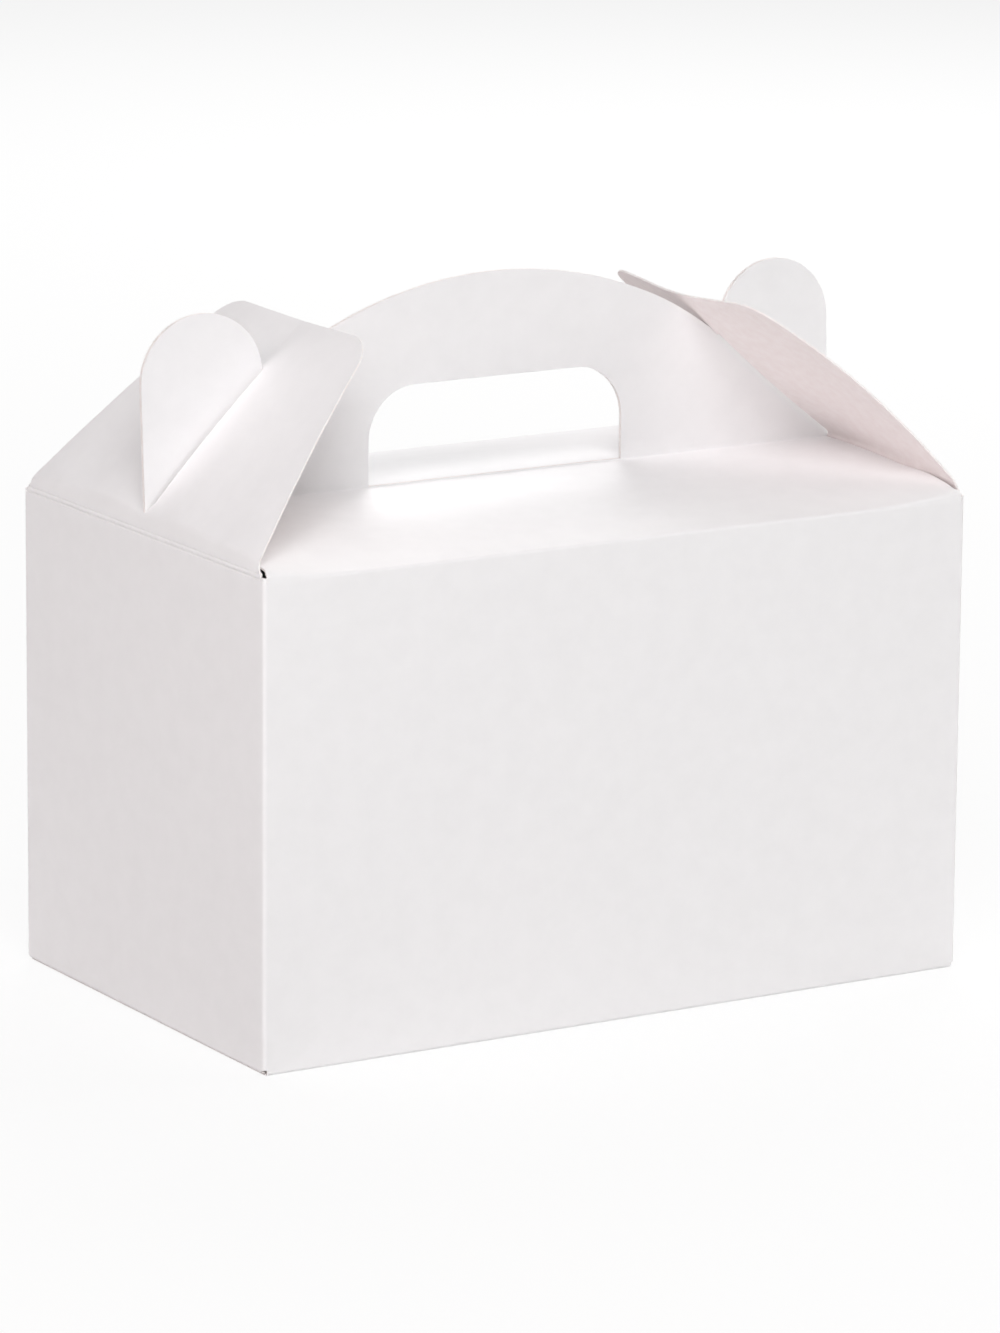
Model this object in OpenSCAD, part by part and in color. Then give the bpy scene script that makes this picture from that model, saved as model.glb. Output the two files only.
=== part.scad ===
// Gable box: a carry box folded from one plain blank of white paperboard.
// Two roof panels lean to a low ridge and stand up there as a double handle, whose ears
// pass through a slot in each end flap. The bottom is the glued kind that springs flat.
// X runs along the box, Y across it, Z up. The origin is at the middle of the base.

/* [Board] */
// Thickness of the paperboard
board_t = 0.5; // [0.4:0.05:0.6]
// Outside radius of a fold
fold_r = 1; // [0.8:0.1:1.4]

/* [Body] */
// Length of the body, outside
body_l = 210; // [190:1:240]
// Depth of the body, outside
body_d = 128; // [115:1:145]
// Height of the long walls, up to their roof folds
wall_h = 127; // [80:1:180]
// Height of the end creases above the roof folds
end_crease_h = 1.3; // [0.8:0.1:2]
// Width of the glued seam tab inside one corner
seam_w = 15; // [10:1:20]

/* [Roof] */
// Height of the ridge above the roof folds
ridge_h = 5.5; // [4.5:0.5:9]
// How far each roof panel bows up between its folds
roof_bow = 1.6; // [0.4:0.2:3]
// Clearance between the cut ends of the roof and the end flaps
roof_clear = 0.6; // [0.4:0.1:0.8]

/* [Handle] */
// Height of the handle's arch above the roof folds
arch_h = 59.3; // [56:0.5:66]
// Height of the notches between the arch and the ears, above the roof folds
notch_h = 36.5; // [30:0.5:40]
// Width of the hand hole
hole_w = 77; // [70:1:90]
// Height of the hand hole's top above the roof folds
hole_top_h = 31.6; // [28:0.2:36]
// Radius of the hand hole's upper corners
hole_r = 14; // [6:1:16]
// Gap between the two handle panels
handle_gap = 0.2; // [0.1:0.1:0.4]

/* [Ears] */
// Width of an ear
ear_w = 34; // [28:1:38]
// Height of an ear's round top above the roof folds
ear_h = 55.5; // [50:0.5:58]

/* [End flaps] */
// Lean of an end flap from upright, in degrees
flap_lean = 46.5; // [44:0.5:50]
// Radius of the bend where a flap goes over the ridge's end
bend_r = 2.5; // [2:0.5:5]
// Taper of a flap's sides, in degrees
flap_taper = 18.5; // [10:0.5:25]
// How far a flap's crease stops short of the end wall's edges
flap_relief = 2.3; // [1:0.1:4]
// Radius of a flap's upper corners
flap_corner_r = 11; // [3:1:14]
// Board left above a slot
bridge_w = 8.5; // [5:0.5:12]
// Clearance on each side of the ears in a slot
slot_clear = 1; // [0.4:0.1:1.4]
// Clearance past the ears at a slot's upper end
slot_end_clear = 0.8; // [0.6:0.1:2]
// Gap at a flap's crease
crease_gap = 0.1; // [0.05:0.05:0.2]

/* [Bottom] */
// Reach of the end bottom flaps from the end walls
minor_reach = 48; // [30:1:60]
// Cut-back angle of the end bottom flaps' sides, in degrees
minor_taper = 40; // [20:1:45]
// How far each long bottom flap's tongue laps over the other
tongue_lap = 22; // [12:1:35]
// Length of a tongue along the box
tongue_l = 46; // [30:1:50]
// Width of the cut between the two long bottom flaps
bottom_cut = 0.4; // [0.2:0.1:0.8]

/* [Hidden] */
$fn = 96;

fold_steps = 6;
bow_steps = 8;
roof_inset = board_t + roof_clear;
sheet_l = body_l - 2 * roof_inset;
handle_y = handle_gap / 2 + board_t;
ridge_fold_r = 0.4;
ridge_z = wall_h + ridge_h;
crease_z = wall_h + end_crease_h;
end_half_d = body_d / 2 - fold_r - 0.1;
ear_r = ear_w / 2;
ear_x = body_l / 2 - roof_inset - ear_r;
ear_z = wall_h + ear_h - ear_r;
notch_x = ear_x - ear_r;
arch_rise = arch_h - notch_h;
arch_r = (notch_x * notch_x + arch_rise * arch_rise) / (2 * arch_rise);
board_color = "whitesmoke";

// Points on an arc about c, from angle a to angle b
function arc(c, r, a, b, steps) =
    [for (i = [0 : steps]) c + r * [cos(a + (b - a) * i / steps), sin(a + (b - a) * i / steps)]];

// Points on the line from a to b, lifted to a parabola of the given height
function bow(a, b, height, steps) =
    [for (i = [1 : steps - 1]) a + (b - a) * i / steps + [0, 4 * height * i * (steps - i) / (steps * steps)]];

function unit(v) = v / norm(v);
function right_of(v) = [v[1], -v[0]];

// Corner i of a path moved to its right, mitred so that the board keeps its thickness
function moved(path, i, by) =
    let (
        last = len(path) - 1,
        before = right_of(unit(path[max(i, 1)] - path[max(i, 1) - 1])),
        after = right_of(unit(path[min(i, last - 1) + 1] - path[min(i, last - 1)])),
        n = unit(before + after)
    )
    path[i] + n * by / (n * before);

// Section of the board, with its outer face along the path and its thickness to the right
module board(path) {
    polygon(concat(path, [for (i = [len(path) - 1 : -1 : 0]) moved(path, i, board_t)]));
}

// A section drawn in Y and Z, run along X between two places
module run_x(from, to) {
    translate([from, 0, 0])
        rotate([90, 0, 90])
            linear_extrude(to - from)
                children();
}

// A shape drawn in X and Z, run along Y between two places
module run_y(from, to) {
    translate([0, to, 0])
        rotate([90, 0, 0])
            linear_extrude(to - from)
                children();
}

// Front half of the sheet in section: bottom flap, wall, roof panel and handle panel
module long_side_section() {
    outer_y = -body_d / 2;
    roof_start = [outer_y + fold_r, wall_h];
    ridge = [-handle_y - ridge_fold_r, ridge_z];
    board(concat(
        [[-bottom_cut / 2, 0]],
        arc([outer_y + fold_r, fold_r], fold_r, 270, 180, fold_steps),
        arc([outer_y + fold_r, wall_h - fold_r], fold_r, 180, 90, fold_steps),
        bow(roof_start, ridge, roof_bow, bow_steps),
        arc(ridge + [0, ridge_fold_r], ridge_fold_r, 270, 360, fold_steps),
        [[-handle_y, wall_h + max(arch_h, ear_h) + board_t]]
    ));
}

// Hand hole seen from the front: straight along the ridge fold, round at its upper corners
module hand_hole(low, high) {
    half_w = hole_w / 2;
    intersection() {
        translate([-half_w, low])
            square([hole_w, high - low]);
        union() {
            translate([-half_w, low])
                square([hole_w, high - hole_r - low]);
            translate([hole_r - half_w, low])
                square([hole_w - 2 * hole_r, high - low]);
            for (side = [-1, 1])
                translate([side * (half_w - hole_r), high - hole_r])
                    circle(hole_r);
        }
    }
}

// Outline of the roof and handle seen from the front: two ears, the arch and the hand hole
module long_side_outline() {
    handle_low = ridge_z + ridge_fold_r;
    difference() {
        union() {
            translate([-sheet_l / 2, -1])
                square([sheet_l, handle_low + 1]);
            for (side = [-1, 1]) {
                translate([side * ear_x - ear_r, ridge_z])
                    square([ear_w, ear_z - ridge_z]);
                translate([side * ear_x, ear_z])
                    circle(ear_r);
            }
            intersection() {
                translate([-notch_x, ridge_z])
                    square([2 * notch_x, arch_h]);
                translate([0, wall_h + arch_h - arch_r])
                    circle(arch_r, $fn = 720);
            }
        }
        hand_hole(handle_low, wall_h + hole_top_h);
    }
}

// One long side of the carton, from its bottom flap up to its handle panel
module long_side() {
    intersection() {
        run_x(-sheet_l / 2, sheet_l / 2)
            long_side_section();
        run_y(-body_d / 2 - 1, 0)
            long_side_outline();
    }
}

// End wall at the right, with its two corner folds and the plain strip up to its crease
module end_wall() {
    corner = [body_l / 2 - fold_r, body_d / 2 - fold_r];
    corner_start = sheet_l / 2 - fold_r;
    low = board_t + fold_r;
    high = wall_h - fold_r;
    translate([0, 0, low])
        linear_extrude(high - low)
            board(concat(
                [[corner_start, body_d / 2]],
                arc(corner, fold_r, 90, 0, fold_steps),
                arc([corner[0], -corner[1]], fold_r, 0, -90, fold_steps),
                [[corner_start, -body_d / 2]]
            ));
    translate([body_l / 2 - board_t, -end_half_d, high])
        cube([board_t, 2 * end_half_d, crease_z - crease_gap - high]);
    end_bottom_flap();
}

// Bottom flap of the right end wall, glued down on the two long bottom flaps
module end_bottom_flap() {
    fold_x = body_l / 2 - fold_r;
    tip_x = body_l / 2 - minor_reach;
    tip_y = end_half_d - (fold_x - tip_x) * tan(minor_taper);
    intersection() {
        run_y(-end_half_d, end_half_d)
            board(concat(
                arc([fold_x, board_t + fold_r], fold_r, 0, -90, fold_steps),
                [[tip_x, board_t]]
            ));
        linear_extrude(body_d)
            polygon([
                [body_l, -end_half_d],
                [fold_x, -end_half_d],
                [tip_x, -tip_y],
                [tip_x, tip_y],
                [fold_x, end_half_d],
                [body_l, end_half_d]
            ]);
    }
}

// Tongue of the front bottom flap, lapped over the back one left of the middle
module bottom_tongue() {
    hook = tongue_lap / 3;
    translate([0, 0, board_t])
        linear_extrude(board_t)
            polygon([
                [-tongue_l, -hook],
                [-bottom_cut / 2, -hook],
                [-bottom_cut / 2, hook],
                [-hook, tongue_lap],
                [-tongue_l + hook, tongue_lap]
            ]);
}

// Seam tab, glued to the inside of the right end wall at the back corner.
// It overlaps half of the wall's board, so that the glued faces are one.
module seam_tab() {
    back = end_half_d - 0.5;
    low = 2 * board_t + fold_r;
    high = wall_h - 2 * fold_r;
    run_x(body_l / 2 - 2 * board_t, body_l / 2 - board_t / 2)
        polygon([
            [back, low],
            [back, high],
            [back - seam_w, high - seam_w / 3],
            [back - seam_w, low + seam_w / 3]
        ]);
}

// The folded and glued sheet
module carton() {
    color(board_color) {
        long_side();
        mirror([0, 1, 0])
            long_side();
        end_wall();
        mirror([1, 0, 0])
            end_wall();
        bottom_tongue();
        rotate([0, 0, 180])
            bottom_tongue();
        seam_tab();
    }
}

// Measures of a flap about its crease: inward first, then up
bend_in = roof_clear / 2;
strip_h = ridge_h - end_crease_h - bend_r * sin(acos(1 - bend_in / bend_r));
bend_end = [
    board_t + bend_r * (1 - cos(flap_lean)),
    strip_h + bend_r * sin(flap_lean)
];
lean_dir = [sin(flap_lean), cos(flap_lean)];
bend_along = bend_end * lean_dir;
bend_off = norm(bend_end - bend_along * lean_dir);
ear_reach = norm([roof_inset + ear_r, ear_z - crease_z]) + ear_r;

// How far along the leaning panel a circle of radius r about the crease meets its inner face
function panel_reach(r) = sqrt(r * r - bend_off * bend_off) - bend_along;

slot_low = -board_t - bend_r;
slot_high = panel_reach(ear_reach) + slot_end_clear;
slot_half_w = handle_y + slot_clear;
panel_l = slot_high + bridge_w;
flap_half_d = end_half_d - flap_relief;

// Section of a flap: strip up from the crease, bend and leaning panel
module flap_section() {
    bend_centre = [board_t + bend_r, strip_h];
    top_outer = bend_end + panel_l * lean_dir - board_t * right_of(lean_dir);
    board(concat(
        [[0, 0]],
        arc(bend_centre, bend_r + board_t, 180, 180 - flap_lean, fold_steps),
        [top_outer]
    ));
}

// Outline of a flap seen square to its leaning panel, with the bend's end on the Y axis
module flap_outline() {
    low = -bend_along - board_t;
    corner_x = panel_l - flap_corner_r;
    top_half = flap_half_d - (panel_l + bend_along) * tan(flap_taper);
    low_half = flap_half_d + board_t * tan(flap_taper);
    corner_y = top_half - flap_corner_r / tan((90 + flap_taper) / 2);
    round_end = [corner_x, corner_y] + flap_corner_r * [sin(flap_taper), cos(flap_taper)];
    difference() {
        union() {
            polygon([
                [low, -low_half],
                [round_end[0], -round_end[1]],
                [panel_l, -corner_y],
                [panel_l, corner_y],
                round_end,
                [low, low_half]
            ]);
            for (side_y = [-1, 1])
                translate([corner_x, side_y * corner_y])
                    circle(flap_corner_r);
        }
        translate([slot_low, -slot_half_w])
            square([slot_high - slot_low, 2 * slot_half_w]);
    }
}

// The left end flap with its crease on the Y axis
module flap_at_crease() {
    intersection() {
        run_y(-end_half_d, end_half_d)
            flap_section();
        translate([bend_end[0], 0, bend_end[1]])
            rotate([0, flap_lean - 90, 0])
                translate([0, 0, -bend_off - bend_r])
                    linear_extrude(2 * (bend_off + bend_r))
                        flap_outline();
    }
}

module left_end_flap() {
    color(board_color)
        translate([-body_l / 2, 0, crease_z])
            flap_at_crease();
}

module right_end_flap() {
    color(board_color)
        mirror([1, 0, 0])
            translate([-body_l / 2, 0, crease_z])
                flap_at_crease();
}

carton();
left_end_flap();
right_end_flap();
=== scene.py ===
import math

import bmesh
import bpy
import numpy as np
from mathutils import Matrix, Vector


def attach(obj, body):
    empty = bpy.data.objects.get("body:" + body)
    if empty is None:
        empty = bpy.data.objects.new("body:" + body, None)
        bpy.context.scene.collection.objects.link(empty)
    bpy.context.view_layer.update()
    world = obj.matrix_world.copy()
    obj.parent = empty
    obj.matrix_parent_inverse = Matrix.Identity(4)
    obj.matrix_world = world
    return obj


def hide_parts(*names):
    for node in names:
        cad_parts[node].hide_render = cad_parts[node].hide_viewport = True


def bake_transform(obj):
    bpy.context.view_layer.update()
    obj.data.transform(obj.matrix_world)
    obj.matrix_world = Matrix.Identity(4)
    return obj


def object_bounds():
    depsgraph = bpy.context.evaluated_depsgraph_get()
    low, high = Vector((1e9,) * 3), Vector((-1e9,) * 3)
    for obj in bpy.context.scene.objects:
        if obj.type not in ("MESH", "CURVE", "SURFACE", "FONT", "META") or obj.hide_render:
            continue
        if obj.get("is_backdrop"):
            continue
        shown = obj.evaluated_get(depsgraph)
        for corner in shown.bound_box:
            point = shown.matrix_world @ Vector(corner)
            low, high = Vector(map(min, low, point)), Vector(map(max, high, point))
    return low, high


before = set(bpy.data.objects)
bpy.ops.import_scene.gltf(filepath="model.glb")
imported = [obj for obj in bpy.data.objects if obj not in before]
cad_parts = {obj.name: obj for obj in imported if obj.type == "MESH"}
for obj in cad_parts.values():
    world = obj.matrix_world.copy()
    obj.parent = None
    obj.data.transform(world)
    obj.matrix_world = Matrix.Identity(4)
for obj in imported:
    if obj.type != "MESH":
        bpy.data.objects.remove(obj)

bl_info = {
    "name": "Gable Box",
    "version": (1, 0, 0),
    "blender": (4, 5, 0),
    "location": "View3D > Sidebar > Gable Box",
    "description": "White paperboard carry box, folded from its flat blank, with its studio stage",
    "category": "Object",
}

# One millimetre in metres
MM = 0.001
# Points of the blank closer than this, in metres, are one point
TOUCH = 2e-6
# Steps in a quarter turn of a fold
FOLD_STEPS = 6
# Width of the worn edge where the board is cut, and the angle from which an edge is a cut one
CUT_EDGE_W = 0.08 * MM
CUT_EDGE_ANGLE = 50


def length(name, description, default):
    """A size in metres that a user may change."""
    return bpy.props.FloatProperty(
        name=name,
        description=description,
        default=default,
        min=0.0,
        precision=5,
        unit="LENGTH",
        subtype="DISTANCE",
    )


def angle(name, description, default):
    """An angle that a user may change, given in degrees."""
    return bpy.props.FloatProperty(
        name=name,
        description=description,
        default=math.radians(default),
        unit="ROTATION",
        subtype="ANGLE",
    )


def finish_colour(name, description, code):
    """A colour that a user may change, given as sRGB hex."""
    return bpy.props.FloatVectorProperty(
        name=name,
        description=description,
        default=hex_linear(code),
        size=4,
        min=0.0,
        max=1.0,
        subtype="COLOR",
    )


def hex_linear(code):
    """The linear colour of an sRGB hex code."""
    values = [int(code[i : i + 2], 16) / 255 for i in (0, 2, 4)]
    return tuple(c / 12.92 if c <= 0.04045 else ((c + 0.055) / 1.055) ** 2.4 for c in values) + (1.0,)


class GableBoxSizes(bpy.types.PropertyGroup):
    """Sizes of the blank and of the folded box"""

    board: length("Board", "Thickness of the paperboard", 0.5 * MM)
    fold: length("Fold", "Outside radius of a fold", 1.0 * MM)
    body_l: length("Body length", "Length of the body, outside", 210 * MM)
    body_d: length("Body depth", "Depth of the body, outside", 128 * MM)
    wall_h: length("Wall height", "Height of the long walls", 127 * MM)
    crease_h: length("End crease", "Height of the end creases above the roof folds", 1.3 * MM)
    roof_inset: length("Roof inset", "From the end of the body in to the end of the roof", 1.1 * MM)
    ridge_h: length("Ridge height", "Height of the ridge above the roof folds", 5.5 * MM)
    roof_bow: length("Roof bow", "How far a roof panel bows up between its folds", 1.6 * MM)
    end_cut: length("Roof end cut", "How far the roof's ends are cut back near the walls", 0.7 * MM)
    ridge_fold: length("Ridge fold", "Radius of the fold between roof and handle", 0.4 * MM)
    handle_y: length("Handle face", "From the middle of the box to a handle panel's face", 0.6 * MM)
    arch_h: length("Arch height", "Height of the handle's arch above the roof folds", 59.3 * MM)
    notch_h: length("Notch height", "Height of the notches between arch and ears", 36.5 * MM)
    ear_w: length("Ear width", "Width of an ear", 34 * MM)
    ear_h: length("Ear height", "Height of an ear's round top above the roof folds", 55.5 * MM)
    hole_w: length("Hand hole width", "Width of the hand hole", 77 * MM)
    hole_h: length("Hand hole top", "Height of the hand hole's top above the roof folds", 31.6 * MM)
    hole_r: length("Hand hole corners", "Radius of the hand hole's upper corners", 14 * MM)
    end_half_w: length("End half width", "Half the width of an end wall between its corner folds", 62.9 * MM)
    flap_half_w: length("Flap half width", "Half the width of an end flap at its crease", 62.3 * MM)
    web_h: length("Corner webs", "Height of the corner webs above the roof folds", 0.7 * MM)
    flap_l: length("Flap length", "From the crease to the top edge of an end flap", 69.3 * MM)
    flap_taper: angle("Flap taper", "Taper of an end flap's sides", 20.2)
    flap_r: length("Flap corners", "Radius of an end flap's upper corners", 11 * MM)
    slot_half_w: length("Slot half width", "Half the width of the slot for the ears", 2.1 * MM)
    slot_low: length("Slot low end", "From the crease to the low end of the slot", 5.0 * MM)
    slot_high: length("Slot high end", "From the crease to the high end of the slot", 52.6 * MM)
    seam_w: length("Seam tab", "Width of the glued seam tab", 15 * MM)
    end_reach: length("End bottom flap", "Reach of an end bottom flap", 48 * MM)
    end_taper: angle("End bottom taper", "Cut-back angle of an end bottom flap's sides", 40)
    tongue_l: length("Tongue length", "Length of a bottom flap's tongue along the box", 46 * MM)
    tongue_lap: length("Tongue lap", "How far a tongue laps over the other bottom flap", 22 * MM)
    bottom_cut: length("Bottom cut", "Width of the cut between the long bottom flaps", 0.4 * MM)


class GableBoxColours(bpy.types.PropertyGroup):
    """Colours of the board and of the stage"""

    coated: finish_colour("Coated face", "Clay-coated outer face of the board", "F7F6F7")
    coated_low: finish_colour("Coated face, low", "Coating where the fibres show through", "F5F4F5")
    back: finish_colour("Uncoated face", "Uncoated inner face of the board", "F9F1F0")
    back_low: finish_colour("Uncoated face, low", "Fibres of the uncoated face", "F5EBEA")
    edge: finish_colour("Cut edge", "Cut edge of the board", "FAF9F8")
    floor: finish_colour("Floor", "Pale studio floor", "FAFAFA")


# Paths and flat shapes


def arc(centre, radius, start, end, steps):
    """Points of an arc, with its angles in degrees."""
    turns = [math.radians(start + (end - start) * i / steps) for i in range(steps + 1)]
    return [(centre[0] + radius * math.cos(a), centre[1] + radius * math.sin(a)) for a in turns]


def paced(points, start):
    """The path's columns with the length of board used up to each point."""
    table = np.array(points)
    steps = np.hypot(*np.diff(table, axis=0).T)
    return start + np.concatenate([[0], np.cumsum(steps)]), table[:, 0], table[:, 1]


def groove(distance, depth, half_w):
    """Depth of a pressed line at a distance from its middle."""
    return depth * max(0.0, 1 - abs(distance) / half_w)


def smooth(value, low, high):
    """0 below low, 1 above high and eased between them."""
    t = min(max((value - low) / (high - low), 0.0), 1.0)
    return t * t * (3 - 2 * t)


def spread(low, high, step):
    """Even places between two ends, about a step apart."""
    count = max(1, round((high - low) / step))
    return [low + (high - low) * i / count for i in range(count + 1)]


def add_face(bm, points):
    """A flat face of the blank."""
    return bm.faces.new([bm.verts.new((x, y, 0)) for x, y in points])


def round_corners(bm, face, corners, cut_back, segments):
    """Rounds the face's vertices at these corners."""
    found = [v for v in face.verts for x, y in corners if math.hypot(v.co.x - x, v.co.y - y) < TOUCH]
    bmesh.ops.bevel(
        bm,
        geom=found,
        offset=cut_back,
        offset_type="OFFSET",
        segments=segments,
        profile=0.5,
        affect="VERTICES",
        clamp_overlap=False,
        material=-1,
    )


def score(bm, columns, rows):
    """Cuts the flat blank along its fold lines and grid, and joins the panels."""
    bmesh.ops.triangulate(bm, faces=bm.faces[:], quad_method="BEAUTY", ngon_method="BEAUTY")
    for normal, places in ((Vector((1, 0, 0)), columns), (Vector((0, 1, 0)), rows)):
        for place in sorted(set(round(p, 7) for p in places)):
            bmesh.ops.bisect_plane(
                bm,
                geom=bm.verts[:] + bm.edges[:] + bm.faces[:],
                dist=TOUCH,
                plane_co=normal * place,
                plane_no=normal,
            )
    bmesh.ops.remove_doubles(bm, verts=bm.verts[:], dist=TOUCH)
    bmesh.ops.dissolve_degenerate(bm, dist=TOUCH, edges=bm.edges[:])


def fold_up(bm, place):
    """Keeps the flat blank as the UV map and moves every vertex to its place on the box."""
    uv = bm.loops.layers.uv.new("blank")
    for face in bm.faces:
        face.smooth = True
        for loop in face.loops:
            loop[uv].uv = loop.vert.co.xy
    for vert in bm.verts:
        vert.co = place(vert.co.x, vert.co.y)


def board_piece(name, bm, board):
    """A sheet object: the outer face is the mesh, and the board's thickness goes inwards."""
    mesh = bpy.data.meshes.new(name)
    bm.to_mesh(mesh)
    bm.free()
    for material in board_materials():
        mesh.materials.append(material)
    piece = bpy.data.objects.new(name, mesh)
    bpy.context.scene.collection.objects.link(piece)
    shell = piece.modifiers.new("board thickness", "SOLIDIFY")
    shell.thickness = board
    shell.offset = -1
    shell.use_even_offset = True
    shell.use_quality_normals = True
    shell.material_offset = 2
    shell.material_offset_rim = 1
    edge = piece.modifiers.new("cut edges", "BEVEL")
    edge.width = CUT_EDGE_W
    edge.segments = 1
    edge.limit_method = "ANGLE"
    edge.angle_limit = math.radians(CUT_EDGE_ANGLE)
    edge.use_clamp_overlap = True
    piece.modifiers.new("flat faces", "WEIGHTED_NORMAL").keep_sharp = True
    return piece


# Carton

# Distance from the ridge's fold and depth of the lines that its scoring leaves, in millimetres
ROOF_SCORE = ((1.2, 0), (0.9, 0.12), (0.6, 0))
HANDLE_SCORE = ((0.9, 0), (1.2, 0.1), (1.5, 0))

# Steps across a roof panel, along the arch and round an ear's and a hand hole's corner
ROOF_STEPS = 12
ARCH_STEPS = 64
EAR_STEPS = 20
HOLE_STEPS = 14
# An ear's corners stop this share short of its middle, so that they stay two corners
EAR_ROUND = 0.9999

# Above the roof's lower fold, where the cut-back of its ends is full, and where it ends
CUT_FULL = 1.5 * MM
CUT_END = 20 * MM

# How far an end bottom flap's fold reaches, and how far the right end wall stops short of the seam
# tab's corner, both in radii of a fold
END_FOLD_REACH = 1.6
SEAM_SHORT = 0.8

# Gap beside an end flap's foot and at the corner webs
WEB_SLIT = 0.1 * MM

# Spans over which a tongue of the bottom rises, across the box and along it
TONGUE_RISE = (6 * MM, 1 * MM)
TONGUE_EASE = 4 * MM

# Lift of the roof at its ends, over the distance in from the long wall, both in millimetres
END_LIFT = ((0, 0.3, 1.3, 3, 9, 17, 26, 32, 46), (0, 1.4, 1.9, 2.1, 2.1, 1.6, 0.3, 0.1, 0))
# Lift of the ridge at its left and right end, where the lift begins, and how late it grows
RIDGE_LIFT = {-1: -1.8 * MM, 1: 0.1 * MM}
LIFT_START = 72 * MM
LIFT_POWER = 1.6
# Step of the columns where the roof is lifted
LIFT_STEP = 2.5 * MM

# Height above the ridge over which the lift of the roof's ends fades out on the handle
LIFT_FADE = 12 * MM

# How far the ears stand to the left of the roof's ends, the heights above the ridge between which
# they lean over, and the span of the arch that leans with the right one
EAR_SHIFT = 1.0 * MM
EAR_LEAN = (1 * MM, 9 * MM)
EAR_EASE = 22 * MM

# Height above the roof folds of the lower line of the bead along an end crease
BEAD_LOW = 0.1 * MM
# Depth and half width of the two pressed lines of the bead
BEAD_DEPTH = 0.28 * MM
BEAD_HALF_W = 0.4 * MM


def end_lift(z, inward, side):
    """How much higher the roof stands at the left or right end than its plain section."""
    ridge = z.body_d / 2 - z.handle_y
    at = np.append(END_LIFT[0], ridge / MM) * MM
    lift = np.append(END_LIFT[1], RIDGE_LIFT[side] / MM) * MM
    return float(np.interp(inward, at, lift))


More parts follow.
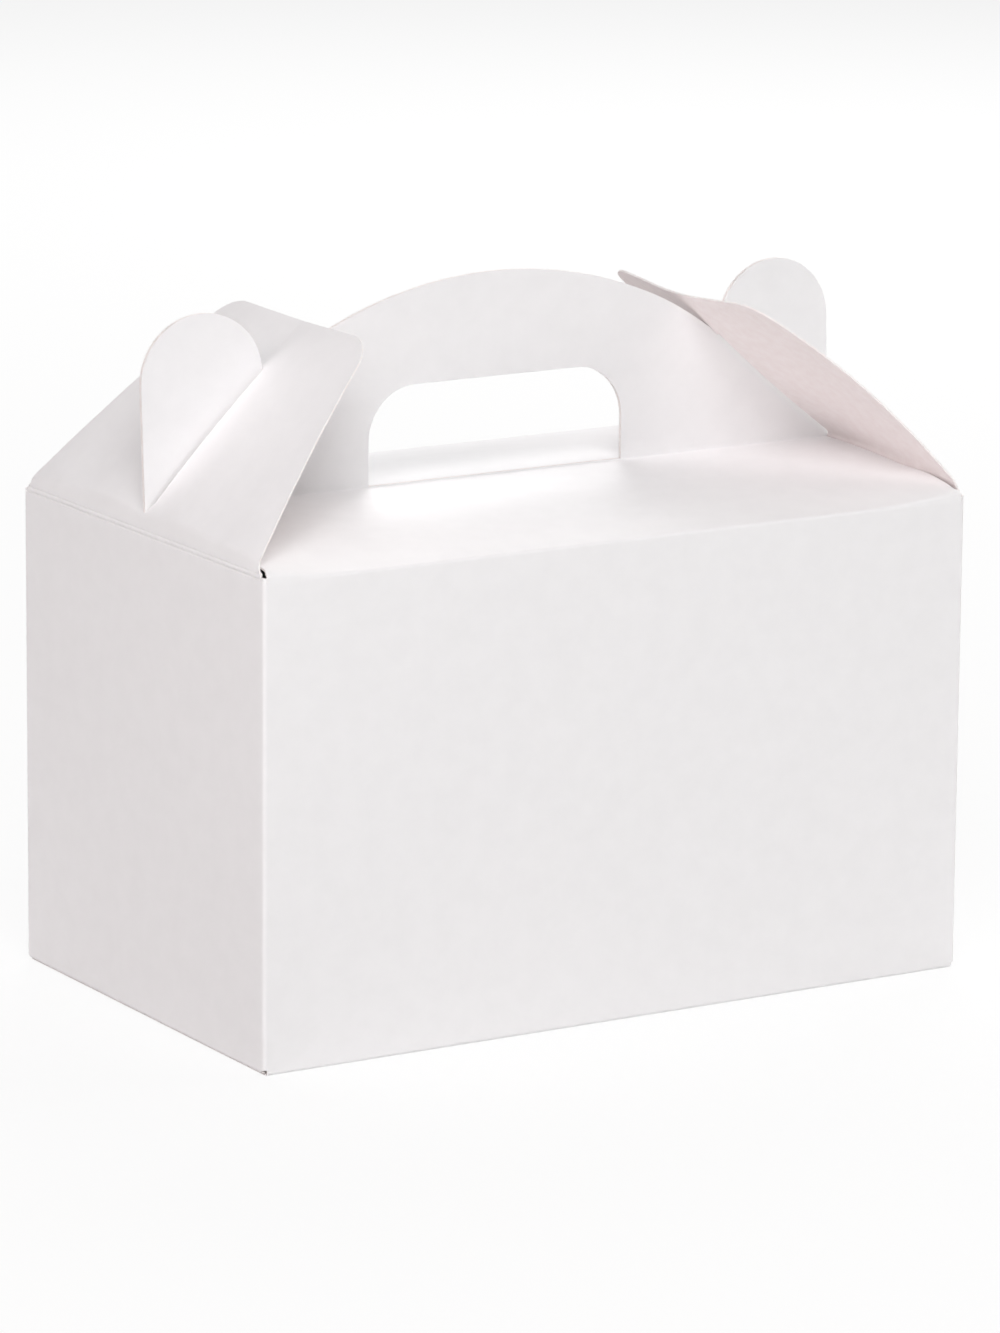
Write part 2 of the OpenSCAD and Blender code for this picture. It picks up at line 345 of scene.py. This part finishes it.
class Blank:
    """The flat blank's plan: s runs round the walls from the middle of the front, v runs up them."""

    def __init__(self, z):
        self.z = z
        half_l = z.body_l / 2
        half_d = z.body_d / 2
        r = z.fold
        tab_x = half_l - z.board
        plan = [(tab_x, half_d - r - z.seam_w)]
        plan += arc((tab_x - r, half_d - r), r, 0, 90, FOLD_STEPS)
        plan += arc((r - half_l, half_d - r), r, 90, 180, FOLD_STEPS)
        plan += arc((r - half_l, r - half_d), r, 180, 270, FOLD_STEPS)
        front_start = len(plan) - 1
        plan += arc((half_l - r, r - half_d), r, 270, 360, FOLD_STEPS)
        plan += [(half_l, half_d)]
        s, x, y = paced(plan, 0)
        s -= s[front_start] - x[front_start]
        self.plan = s, x, y
        self.corners = list(s)
        self.half = half_l - z.roof_inset
        self.notch = self.half - z.ear_w
        quarter = r * math.pi / 2
        self.left = -(half_l - r + quarter + half_d - r)
        self.right = -self.left
        self.back = 2 * self.left
        self.wall_top = z.wall_h - r
        self.roof_low = self.wall_top + quarter
        self.make_long_section()
        self.make_end_section()

    def make_long_section(self):
        """Inward distance and height of a long side, from the bottom cut to the handle's top."""
        z = self.z
        r = z.fold
        middle = z.body_d / 2
        bottom = [(middle + z.tongue_lap, 0)] + arc((r, r), r, 270, 180, FOLD_STEPS)
        v, d, h = paced(bottom, 0)
        v += r - v[-1]
        self.v_bottom = v[0] + z.tongue_lap + z.bottom_cut / 2
        ridge = middle - z.handle_y - z.ridge_fold
        top = arc((r, self.wall_top), r, 180, 90, FOLD_STEPS)
        for i in range(1, ROOF_STEPS):
            t = i / ROOF_STEPS
            top.append((r + (ridge - r) * t, z.wall_h + z.ridge_h * t + 4 * z.roof_bow * t * (1 - t)))
        ridge_z = z.wall_h + z.ridge_h
        top += [(ridge - b * MM, ridge_z - g * MM) for b, g in ROOF_SCORE]
        face = middle - z.handle_y
        top += arc((ridge, ridge_z + z.ridge_fold), z.ridge_fold, 270, 360, FOLD_STEPS)
        handle = len(top) - 1
        top += [(face + g * MM, ridge_z + b * MM) for b, g in HANDLE_SCORE]
        top.append((face, z.wall_h + z.arch_h + r))
        vt, dt, ht = paced(top, self.wall_top)
        self.v_handle = vt[handle]
        self.handle_z = ht[handle]
        self.long_table = np.concatenate([v, vt]), np.concatenate([d, dt]), np.concatenate([h, ht])

    def make_end_section(self):
        """Inward distance and height of an end wall and its bottom flap, which lies on the long ones."""
        z = self.z
        r = z.fold
        low = z.board
        path = [(z.end_reach, low)] + arc((r, low + r), r, 270, 180, FOLD_STEPS)
        v, d, h = paced(path, 0)
        v += low + r - v[-1]
        self.v_end_tip = v[0]
        self.v_end_low = v[-1]
        self.v_end_fold = self.v_end_low - r * END_FOLD_REACH
        top = z.wall_h + z.crease_h
        self.end_table = np.append(v, top), np.append(d, 0), np.append(h, top)

    def handle_v(self, height):
        """Place up the blank of a height above the roof folds, on a handle panel."""
        return self.v_handle + self.z.wall_h + height - self.handle_z

    def place(self, s, v):
        """A point of the blank on the folded box."""
        x = float(np.interp(s, self.plan[0], self.plan[1]))
        y = float(np.interp(s, self.plan[0], self.plan[2]))
        for centre, inward in ((0, 1), (self.back, -1)):
            if abs(s - centre) <= self.half + TOUCH:
                d, h = self.on_table(self.long_table, v)
                lift = self.tongue_lift(s - centre, d) if v < self.z.fold else self.roof_lift(x, v, d)
                return x - self.ear_shift(x, v), y + inward * d, h + lift
        for centre, inward in ((self.left, 1), (self.right, -1)):
            if abs(s - centre) <= self.z.end_half_w + TOUCH:
                d, h = self.on_table(self.end_table, v)
                d += groove(v - self.z.wall_h - BEAD_LOW, BEAD_DEPTH, BEAD_HALF_W)
                return x + inward * d, y, h
        return x, y, v

    def on_table(self, table, v):
        """Inward distance and height at a place up a section."""
        return float(np.interp(v, table[0], table[1])), float(np.interp(v, table[0], table[2]))

    def roof_lift(self, x, v, d):
        """The roof rises or sinks towards its ends, and the foot of the handle with it."""
        z = self.z
        if v < self.wall_top or abs(x) < LIFT_START:
            return 0.0
        share = ((abs(x) - LIFT_START) / (self.half - LIFT_START)) ** LIFT_POWER
        fade = 1 - smooth(v, self.v_handle, self.v_handle + LIFT_FADE)
        return share * fade * end_lift(z, d, 1 if x > 0 else -1)

    def ear_shift(self, x, v):
        """The ears stand a little to the left of the roof's ends, as the flaps pull them."""
        risen = smooth(v, self.v_handle + EAR_LEAN[0], self.v_handle + EAR_LEAN[1])
        if x < 0:
            return EAR_SHIFT * risen * max(0.0, -x - self.notch) / self.z.ear_w
        return EAR_SHIFT * risen * smooth(x, self.notch - EAR_EASE, self.notch)

    def tongue_lift(self, local, d):
        """A tongue rises by the board's thickness, to lap over the other bottom flap."""
        z = self.z
        if local > -z.bottom_cut / 4:
            return 0.0
        edge = z.body_d / 2 - z.bottom_cut / 2
        rise = z.board * smooth(d, edge - TONGUE_RISE[0], edge - TONGUE_RISE[1])
        return rise * smooth(local, -z.tongue_l - TONGUE_EASE, -z.tongue_l)

    def panel(self, bm, centre, points):
        """A flat panel of the blank, from points about a wall's middle."""
        return add_face(bm, [(centre + x, v) for x, v in points])

    def long_side(self, bm, centre):
        """A long wall with its bottom flap and tongue, roof panel, ears and arch."""
        z = self.z
        half = self.half
        hook = z.tongue_lap / 3
        cut = z.bottom_cut / 2
        low = self.v_bottom
        slit = low + hook
        v_top = self.v_handle
        roof = self.roof_low
        ends = (
            (slit, half),
            (roof, half),
            (roof + CUT_FULL, half - z.end_cut),
            (roof + CUT_END, half),
            (v_top, half),
        )
        for (v0, x0), (v1, x1) in zip(ends, ends[1:]):
            self.panel(bm, centre, [(-x0, v0), (x0, v0), (x1, v1), (-x1, v1)])
        self.panel(bm, centre, [(-half, low), (-cut, low), (0, slit), (-half, slit)])
        self.panel(bm, centre, [(cut, low), (half, low), (half, slit), (0, slit)])
        self.panel(bm, centre, [
            (-z.tongue_l, low),
            (hook - z.tongue_l, low - z.tongue_lap),
            (-hook, low - z.tongue_lap),
            (-cut, low - hook),
            (-cut, low),
        ])
        ear_top = self.handle_v(z.ear_h)
        for side in (-1, 1):
            outer = centre + side * half
            inner = centre + side * self.notch
            left, right = min(outer, inner), max(outer, inner)
            ear = add_face(bm, [(left, v_top), (right, v_top), (right, ear_top), (left, ear_top)])
            corners = [(right, ear_top), (left, ear_top)]
            round_corners(bm, ear, corners, z.ear_w / 2 * EAR_ROUND, EAR_STEPS)
        self.arch(bm, centre)

    def arch(self, bm, centre):
        """The handle's arch, with the hand hole open along the ridge fold."""
        z = self.z
        notch_x = self.notch
        rise = z.arch_h - z.notch_h
        radius = (notch_x**2 + rise**2) / (2 * rise)
        turn = math.asin(notch_x / radius)
        start = bm.verts.new((centre + notch_x, self.handle_v(z.notch_h), 0))
        spun = bmesh.ops.spin(
            bm,
            geom=[start],
            cent=(centre, self.handle_v(z.arch_h) - radius, 0),
            axis=(0, 0, 1),
            angle=2 * turn,
            steps=ARCH_STEPS,
            use_merge=False,
        )
        last = spun["geom_last"][0]
        curve = [start]
        while curve[-1] is not last:
            following = [e.other_vert(curve[-1]) for e in curve[-1].link_edges]
            curve.append(next(v for v in following if v not in curve))
        half_w = z.hole_w / 2
        top = self.handle_v(z.hole_h)
        low = self.v_handle
        base = [(-notch_x, low), (-half_w, low), (-half_w, top), (half_w, top), (half_w, low), (notch_x, low)]
        verts = [bm.verts.new((centre + x, v, 0)) for x, v in base]
        face = bm.faces.new(verts + curve)
        corners = [(centre - half_w, top), (centre + half_w, top)]
        round_corners(bm, face, corners, z.hole_r, HOLE_STEPS)

    def end_wall(self, bm, centre, start, end):
        """An end wall with its bottom flap, up to the bead of its crease, and the webs at its corners."""
        z = self.z
        half = z.end_half_w
        low = self.v_end_low
        fold_low = self.v_end_fold
        high = self.wall_top
        tip = half - (fold_low - self.v_end_tip) * math.tan(z.end_taper)
        web = z.wall_h + z.web_h
        add_face(bm, [(start, low), (end, low), (end, high), (start, high)])
        seam = z.wall_h + BEAD_LOW
        flap_half = z.flap_half_w + WEB_SLIT
        self.panel(bm, centre, [(-flap_half, high), (flap_half, high), (flap_half, seam), (-flap_half, seam)])
        for left, right in ((start + WEB_SLIT, centre - flap_half), (centre + flap_half, end - WEB_SLIT)):
            add_face(bm, [(left, high), (right, high), (right, web), (left, web)])
        self.panel(bm, centre, [(-half, fold_low), (half, fold_low), (half, low), (-half, low)])
        self.panel(bm, centre, [
            (-tip, self.v_end_tip),
            (tip, self.v_end_tip),
            (half, fold_low),
            (-half, fold_low),
        ])

    def seam_tab(self, bm):
        """The tab that is glued inside the back corner of the right end wall."""
        z = self.z
        inner = self.plan[0][0]
        outer = self.back - self.half
        low = 2 * z.board + z.fold
        high = z.wall_h - 2 * z.fold
        add_face(bm, [(inner, low + z.seam_w / 3), (outer, low), (outer, high), (inner, high - z.seam_w / 3)])


class GABLE_OT_carton(bpy.types.Operator):
    """Fold the carton from its flat blank: walls, bottom, roof and double handle"""

    bl_idname = "gable_box.carton"
    bl_label = "Fold Carton"

    def execute(self, context):
        z = context.scene.gable_box_sizes
        blank = Blank(z)
        bm = bmesh.new()
        for centre in (0, blank.back):
            blank.long_side(bm, centre)
        blank.end_wall(bm, blank.left, blank.back + blank.half, -blank.half)
        blank.end_wall(bm, blank.right, blank.half, blank.right + z.body_d / 2 - z.fold * SEAM_SHORT)
        blank.seam_tab(bm)
        columns = list(blank.corners) + self.columns(blank)
        rows = list(blank.long_table[0]) + list(blank.end_table[0][:-1]) + self.rows(blank)
        score(bm, columns, rows)
        fold_up(bm, blank.place)
        carton = board_piece("folded_carton", bm, z.board)
        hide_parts("carton")
        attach(carton, "box")
        return {"FINISHED"}

    def columns(self, blank):
        """Places round the walls where the blank is cut into columns."""
        z = blank.z
        places = []
        for centre in (0, blank.back):
            for x in (blank.half, blank.notch, z.hole_w / 2):
                places += [centre - x, centre + x]
            places += [centre - z.tongue_l - i * MM for i in range(5)]
            lifted = spread(LIFT_START, blank.half, LIFT_STEP)
            places += [centre + x for x in lifted] + [centre - x for x in lifted]
        for centre in (blank.left, blank.right):
            for x in (z.end_half_w, z.flap_half_w + WEB_SLIT):
                places += [centre - x, centre + x]
        return places

    def rows(self, blank):
        """Places up the walls where the blank is cut into rows."""
        z = blank.z
        edge = blank.v_bottom
        places = [edge + i * MM for i in range(7)]
        places += [blank.v_handle, blank.handle_v(z.notch_h), blank.wall_top]
        places += [z.wall_h + z.web_h, z.wall_h + BEAD_LOW, z.wall_h + BEAD_LOW - BEAD_HALF_W]
        places += [blank.roof_low, blank.roof_low + CUT_FULL, blank.roof_low + CUT_END]
        places += [2 * z.board + z.fold, z.wall_h - 2 * z.fold]
        places += [edge + z.tongue_lap / 3, blank.v_end_fold]
        return places


# End flaps

# Each flap's name, its side, the length of its bend over the roof's end, and its leans in degrees just
# above the bend and at its top edge, first in the middle of the flap and then at its sides
FLAP_FORMS = (
    ("left", -1, 2 * MM, (41.6, 49.5), (43.6, 46.2)),
    ("right", 1, 2 * MM, (53.2, 45.1), (38.5, 54.8)),
)

# Distances from the middle of the flap between which the leans change
LEAN_CHANGE = (1 * MM, 38.6 * MM)

# Clearance of the flap's foot to the roof's end, and how far it stands above the roof there
FOOT_CLEARANCE = 0.1 * MM
FOOT_ABOVE = 0.45 * MM

# Distance in from a flap's full width and up from its crease, where its foot narrows
FOOT_POINTS = ((0, -0.4 * MM), (1.3 * MM, 1.0 * MM))
# Where the tapered sides start, in from the full width, and up from the crease
SIDE_IN = 1 * MM
SIDE_UP = 2.6 * MM
# Length of the slot's low end, which narrows to the handle's faces
SLOT_NARROWS = 3 * MM
# Where the bend's fine rows end, up from the crease
BEND_ROWS_END = 8 * MM
# Steps of the rows at the bead, at the bend and above it, and of the columns
BEAD_STEP = 0.2 * MM
BEND_STEP = 0.4 * MM
FLAP_STEP = 3 * MM
COLUMN_STEP = 4 * MM
# Steps round an upper corner
CORNER_STEPS = 10
# Gap between a flap and the end wall in the bead's lower line, where the sheet goes on
SHEET_GAP = 0.01 * MM


class FlapForm:
    """The bent surface of an end flap, over its distance up from the crease and along it."""

    STEP = 0.1 * MM
    STEPS_BELOW = 30
    STEPS_ABOVE = 800
    MOST_FOOT_LEAN = 12

    def __init__(self, z, side, bend_l, middle, edges):
        self.z = z
        self.side = side
        self.bend_l = bend_l
        self.middle = middle
        self.edges = edges
        self.paths = {}

    def path(self, along):
        """Inward distance and height over the length of board, at one place along the crease.

        The board leans in a little up to the height of the roof's end there, and more above it.
        """
        z = self.z
        t = (z.body_d / 2 - along) / (z.body_d / 2)
        roof = z.ridge_h * t + 4 * z.roof_bow * t * (1 - t) + end_lift(z, z.body_d / 2 - along, self.side)
        stand = max(self.STEP, roof - z.crease_h + FOOT_ABOVE)
        room = z.roof_inset - z.board - FOOT_CLEARANCE
        foot = min(self.MOST_FOOT_LEAN, math.degrees(math.atan2(room, stand)))
        weight = smooth(along, *LEAN_CHANGE)
        low_lean, high_lean = (a + (b - a) * weight for a, b in zip(self.middle, self.edges))
        places = np.arange(-self.STEPS_BELOW, self.STEPS_ABOVE) * self.STEP
        stations = [-TOUCH, 0, stand, stand + self.bend_l, z.flap_l]
        leans = np.interp(places, stations, [0, foot, foot, low_lean, high_lean])
        angles = np.radians(leans)
        inward = np.concatenate([[0], np.cumsum(np.sin(angles) * self.STEP)[:-1]])
        height = np.concatenate([[0], np.cumsum(np.cos(angles) * self.STEP)[:-1]])
        return places, inward, height - height[self.STEPS_BELOW]

    def at(self, along, up):
        """Inward distance and height of a point of the flap."""
        key = round(abs(along), 6)
        if key not in self.paths:
            self.paths[key] = self.path(key)
        places, inward, height = self.paths[key]
        pressed = groove(up, BEAD_DEPTH, BEAD_HALF_W)
        pressed += groove(up + self.z.crease_h - BEAD_LOW, BEAD_DEPTH, BEAD_HALF_W)
        return float(np.interp(up, places, inward)) + pressed, float(np.interp(up, places, height))


def flap_half(bm, z):
    """Half of an end flap's blank, from the crease's bead up, with half the slot."""
    low = BEAD_LOW + SHEET_GAP - z.crease_h
    taper = math.tan(z.flap_taper)
    side = z.flap_half_w - SIDE_IN
    top_half = side - z.flap_l * taper
    face = add_face(bm, [
        (0, low),
        (z.flap_half_w, low),
        *((z.flap_half_w - inward, up) for inward, up in FOOT_POINTS),
        (side - SIDE_UP * taper, SIDE_UP),
        (top_half, z.flap_l),
        (0, z.flap_l),
        (0, z.slot_high),
        (z.slot_half_w, z.slot_high),
        (z.slot_half_w, z.slot_low + SLOT_NARROWS),
        (z.handle_y, z.slot_low),
        (0, z.slot_low),
    ])
    cut_back = z.flap_r * math.tan((math.pi / 2 - z.flap_taper) / 2)
    round_corners(bm, face, [(top_half, z.flap_l)], cut_back, CORNER_STEPS)


class GABLE_OT_end_flaps(bpy.types.Operator):
    """Fold the two end flaps over the ridge's ends, with the ears through their slots"""

    bl_idname = "gable_box.end_flaps"
    bl_label = "Fold End Flaps"

    def execute(self, context):
        z = context.scene.gable_box_sizes
        for name, side, bend_l, middle, edges in FLAP_FORMS:
            form = FlapForm(z, side, bend_l, middle, edges)
            bm = bmesh.new()
            flap_half(bm, z)
            copy = bmesh.ops.duplicate(bm, geom=bm.verts[:] + bm.edges[:] + bm.faces[:])["geom"]
            mirrored = [item for item in copy if isinstance(item, bmesh.types.BMVert)]
            bmesh.ops.scale(bm, vec=(-1, 1, 1), verts=mirrored)
            faces = [item for item in copy if isinstance(item, bmesh.types.BMFace)]
            bmesh.ops.reverse_faces(bm, faces=faces)
            score(bm, self.columns(z), self.rows(z))
            crease_x = z.body_l / 2
            crease_z = z.wall_h + z.crease_h

            def place(along, up):
                inward, height = form.at(along, up)
                return side * (crease_x - inward), side * along, crease_z + height

            fold_up(bm, place)
            flap = board_piece(f"{name}_flap_board", bm, z.board)
            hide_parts(f"{name}_end_flap")
            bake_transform(flap)
        return {"FINISHED"}

    def columns(self, z):
        """Places along the crease where a flap is cut into columns."""
        half = spread(z.slot_half_w, z.flap_half_w, COLUMN_STEP)
        return [0] + half + [-x for x in half]

    def rows(self, z):
        """Places up a flap where it is cut into rows, closest at its bead and bend."""
        places = spread(BEAD_LOW + BEAD_HALF_W - z.crease_h, -BEAD_HALF_W, BEAD_STEP)
        places += spread(-BEAD_HALF_W, BEAD_HALF_W, BEAD_STEP)
        places += spread(BEAD_HALF_W, BEND_ROWS_END, BEND_STEP)
        places += spread(BEND_ROWS_END, z.flap_l, FLAP_STEP)
        return places + [z.slot_low, z.slot_high]


# Materials


def add_node(tree, kind, inputs=None, links=None, **settings):
    """A shader node with its settings, its input values and its links."""
    made = tree.nodes.new(kind)
    for name, value in settings.items():
        setattr(made, name, value)
    for socket, value in (inputs or {}).items():
        made.inputs[socket].default_value = value
    for socket, source in (links or {}).items():
        tree.links.new(source, made.inputs[socket])
    return made


def new_material(name):
    """An empty node material."""
    material = bpy.data.materials.new(name)
    material.use_nodes = True
    material.node_tree.nodes.clear()
    return material


def noise(tree, vector, size_mm, detail, roughness):
    """Soft noise over a UV map in metres, with patches of a size given in millimetres."""
    inputs = {"Scale": 1 / (size_mm * MM), "Detail": detail, "Roughness": roughness}
    return add_node(tree, "ShaderNodeTexNoise", inputs, {"Vector": vector}).outputs["Fac"]


def board_face(name, high, low, roughness, mottle_mm, grain_mm, grain_depth):
    """One face of the board: two close colours in soft clouds, over a fine fibre relief."""
    material = new_material(name)
    tree = material.node_tree
    blank = add_node(tree, "ShaderNodeUVMap", uv_map="blank").outputs["UV"]
    clouds = noise(tree, blank, mottle_mm, 4, 0.6)
    tone = add_node(tree, "ShaderNodeMapRange", {"From Min": 0.35, "From Max": 0.65}, {"Value": clouds})
    colour = add_node(tree, "ShaderNodeMix", {6: low, 7: high}, {0: tone.outputs["Result"]}, data_type="RGBA")
    fibres = noise(tree, blank, grain_mm, 3, 0.55)
    depth = {"Strength": 1.0, "Distance": grain_depth * MM}
    relief = add_node(tree, "ShaderNodeBump", depth, {"Height": fibres})
    surface = add_node(
        tree,
        "ShaderNodeBsdfPrincipled",
        {"Roughness": roughness, "IOR": 1.5},
        {"Base Color": colour.outputs[2], "Normal": relief.outputs["Normal"]},
    )
    add_node(tree, "ShaderNodeOutputMaterial", links={"Surface": surface.outputs["BSDF"]})
    return material


def board_materials():
    """Coated outer face, cut edge and uncoated inner face, made once."""
    names = ("clay_coated_paperboard", "cut_paperboard_edge", "uncoated_paperboard")
    if names[0] not in bpy.data.materials:
        c = bpy.context.scene.gable_box_colours
        # A clean, nearly neutral white with a dull satin look and hardly any visible grain
        board_face(
            names[0], c.coated, c.coated_low, roughness=0.62, mottle_mm=7, grain_mm=0.9, grain_depth=0.006
        )
        # A matt white line that shows the thickness of the board where it is cut
        board_face(
            names[1], c.edge, c.back, roughness=0.85, mottle_mm=1.5, grain_mm=0.3, grain_depth=0.02
        )
        # A matt, slightly warm white with soft fibres, seen on the inside of the flaps
        board_face(
            names[2], c.back, c.back_low, roughness=0.9, mottle_mm=3, grain_mm=0.8, grain_depth=0.015
        )
    return [bpy.data.materials[name] for name in names]


# Stage

# Middle of the object, to which the lamps turn
LAMP_TARGET = (0, 0, 0.09)
# Each lamp's name, place and size in metres, power in watts and colour
LAMPS = (
    ("high_softbox", (-0.6, -1.0, 1.3), 1.0, 14.2, (1.0, 1.0, 1.0)),
    ("front_softbox", (-0.8, -1.4, 0.9), 1.0, 5.2, (1.0, 1.0, 1.0)),
    ("top_softbox", (0, 0, 1.7), 1.6, 2.3, (1.0, 1.0, 1.0)),
    ("left_softbox", (-1.4, -0.2, 0.8), 0.9, 4.8, (1.0, 0.87, 0.86)),
    ("right_softbox", (1.5, -0.3, 0.7), 1.0, 9.3, (1.0, 0.97, 0.94)),
    ("back_softbox", (0.9, 1.2, 1.0), 1.0, 15.3, (1.0, 1.0, 1.0)),
)

# Strength of the room's own light, and the share of plain white in the floor as it is seen
ROOM_STRENGTH = 0.01
FLOOR_WHITE = 0.85
FLOOR_HALF = 6.0

# The camera's direction and roll in degrees, its target and distance in millimetres, and its lens
CAMERA_AZIMUTH = -31.272
CAMERA_ELEVATION = 13.089
CAMERA_ROLL = 0.483
CAMERA_TARGET = (2.11, 0, 80.47)
CAMERA_DISTANCE = 1862.7
CAMERA_LENS = 191.27
CAMERA_SENSOR = 36


def soft_light(name, place, size, power, colour):
    """A large soft lamp turned to the object."""
    data = bpy.data.lights.new(name, "AREA")
    data.shape = "SQUARE"
    data.size = size
    data.energy = power
    data.color = colour
    lamp = bpy.data.objects.new(name, data)
    lamp.location = place
    lamp.rotation_euler = (Vector(LAMP_TARGET) - Vector(place)).to_track_quat("-Z", "Y").to_euler()
    bpy.context.scene.collection.objects.link(lamp)


def white_when_seen(tree, lit, white, share):
    """Mixes a lit shader with plain white for rays that show the background itself."""
    rays = add_node(tree, "ShaderNodeLightPath").outputs
    seen = rays["Is Camera Ray"]
    for kind in ("Is Glossy Ray", "Is Transmission Ray"):
        links = {0: seen, 1: rays[kind]}
        seen = add_node(tree, "ShaderNodeMath", links=links, operation="MAXIMUM").outputs[0]
    weight = add_node(tree, "ShaderNodeMath", {1: share}, {0: seen}, operation="MULTIPLY")
    return add_node(tree, "ShaderNodeMixShader", links={0: weight.outputs[0], 1: lit, 2: white}).outputs[0]


class GABLE_OT_stage(bpy.types.Operator):
    """Set the pale floor, the soft studio lights and the camera"""

    bl_idname = "gable_box.stage"
    bl_label = "Set Stage"

    def execute(self, context):
        scene = context.scene
        self.floor(scene)
        self.lights(scene)
        self.camera(scene)
        scene.view_settings.view_transform = "Standard"
        return {"FINISHED"}

    def floor(self, scene):
        """A pale floor that stays white to the eye and keeps the box's shadow."""
        bm = bmesh.new()
        bmesh.ops.create_grid(bm, x_segments=1, y_segments=1, size=FLOOR_HALF)
        mesh = bpy.data.meshes.new("studio_floor")
        bm.to_mesh(mesh)
        bm.free()
        floor = bpy.data.objects.new("studio_floor", mesh)
        scene.collection.objects.link(floor)
        floor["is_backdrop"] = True
        # A matt paper sweep, so pale that only the soft shadow under the box shows on it
        material = new_material("matt_studio_floor")
        tree = material.node_tree
        lit = add_node(tree, "ShaderNodeBsdfDiffuse", {"Color": scene.gable_box_colours.floor})
        white = add_node(tree, "ShaderNodeEmission", {"Color": (1, 1, 1, 1), "Strength": 1.0})
        mixed = white_when_seen(tree, lit.outputs[0], white.outputs[0], FLOOR_WHITE)
        add_node(tree, "ShaderNodeOutputMaterial", links={"Surface": mixed})
        mesh.materials.append(material)

    def lights(self, scene):
        """A dim room that is white where it is seen, and the lamps."""
        world = bpy.data.worlds.new("studio_light")
        world.use_nodes = True
        scene.world = world
        tree = world.node_tree
        tree.nodes.clear()
        room = add_node(tree, "ShaderNodeBackground", {"Color": (1, 1, 1, 1), "Strength": ROOM_STRENGTH})
        white = add_node(tree, "ShaderNodeBackground", {"Color": (1, 1, 1, 1), "Strength": 1.0})
        mixed = white_when_seen(tree, room.outputs[0], white.outputs[0], 1.0)
        add_node(tree, "ShaderNodeOutputWorld", links={"Surface": mixed})
        for lamp in LAMPS:
            soft_light(*lamp)

    def camera(self, scene):
        """The photo's camera."""
        azimuth = math.radians(CAMERA_AZIMUTH)
        elevation = math.radians(CAMERA_ELEVATION)
        roll = math.radians(CAMERA_ROLL)
        target = Vector(CAMERA_TARGET) * MM
        away = Vector((
            math.sin(azimuth) * math.cos(elevation),
            -math.cos(azimuth) * math.cos(elevation),
            math.sin(elevation),
        ))
        right = (-away).cross(Vector((0, 0, 1))).normalized()
        up = right.cross(-away)
        turned_right = right * math.cos(roll) + up * math.sin(roll)
        turned_up = up * math.cos(roll) - right * math.sin(roll)
        data = bpy.data.cameras.new("photo_camera")
        data.sensor_width = CAMERA_SENSOR
        data.lens = CAMERA_LENS
        data.clip_end = 20
        camera = bpy.data.objects.new("photo_camera", data)
        basis = Matrix((turned_right, turned_up, away)).transposed().to_4x4()
        camera.matrix_world = Matrix.Translation(target + away * CAMERA_DISTANCE * MM) @ basis
        scene.collection.objects.link(camera)
        scene.camera = camera


OPERATORS = (GABLE_OT_carton, GABLE_OT_end_flaps, GABLE_OT_stage)


class GABLE_PT_panel(bpy.types.Panel):
    """Sizes, colours and steps of the gable box"""

    bl_idname = "GABLE_PT_panel"
    bl_label = "Gable Box"
    bl_space_type = "VIEW_3D"
    bl_region_type = "UI"
    bl_category = "Gable Box"

    def draw(self, context):
        for group in (context.scene.gable_box_sizes, context.scene.gable_box_colours):
            column = self.layout.column(align=True)
            for name in group.__annotations__:
                column.prop(group, name)
        for operator in OPERATORS:
            self.layout.operator(operator.bl_idname)


CLASSES = (GableBoxSizes, GableBoxColours, *OPERATORS, GABLE_PT_panel)


def register():
    for cls in CLASSES:
        bpy.utils.register_class(cls)
    bpy.types.Scene.gable_box_sizes = bpy.props.PointerProperty(type=GableBoxSizes)
    bpy.types.Scene.gable_box_colours = bpy.props.PointerProperty(type=GableBoxColours)


def unregister():
    del bpy.types.Scene.gable_box_colours
    del bpy.types.Scene.gable_box_sizes
    for cls in reversed(CLASSES):
        bpy.utils.unregister_class(cls)


def corners():
    """The shown object's lowest and highest corner as plain lists."""
    return [list(corner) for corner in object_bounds()]


def main():
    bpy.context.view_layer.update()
    register()
    bpy.ops.gable_box.carton()
    bpy.ops.gable_box.end_flaps()
    bpy.ops.gable_box.stage()


if __name__ == "__main__":
    main()
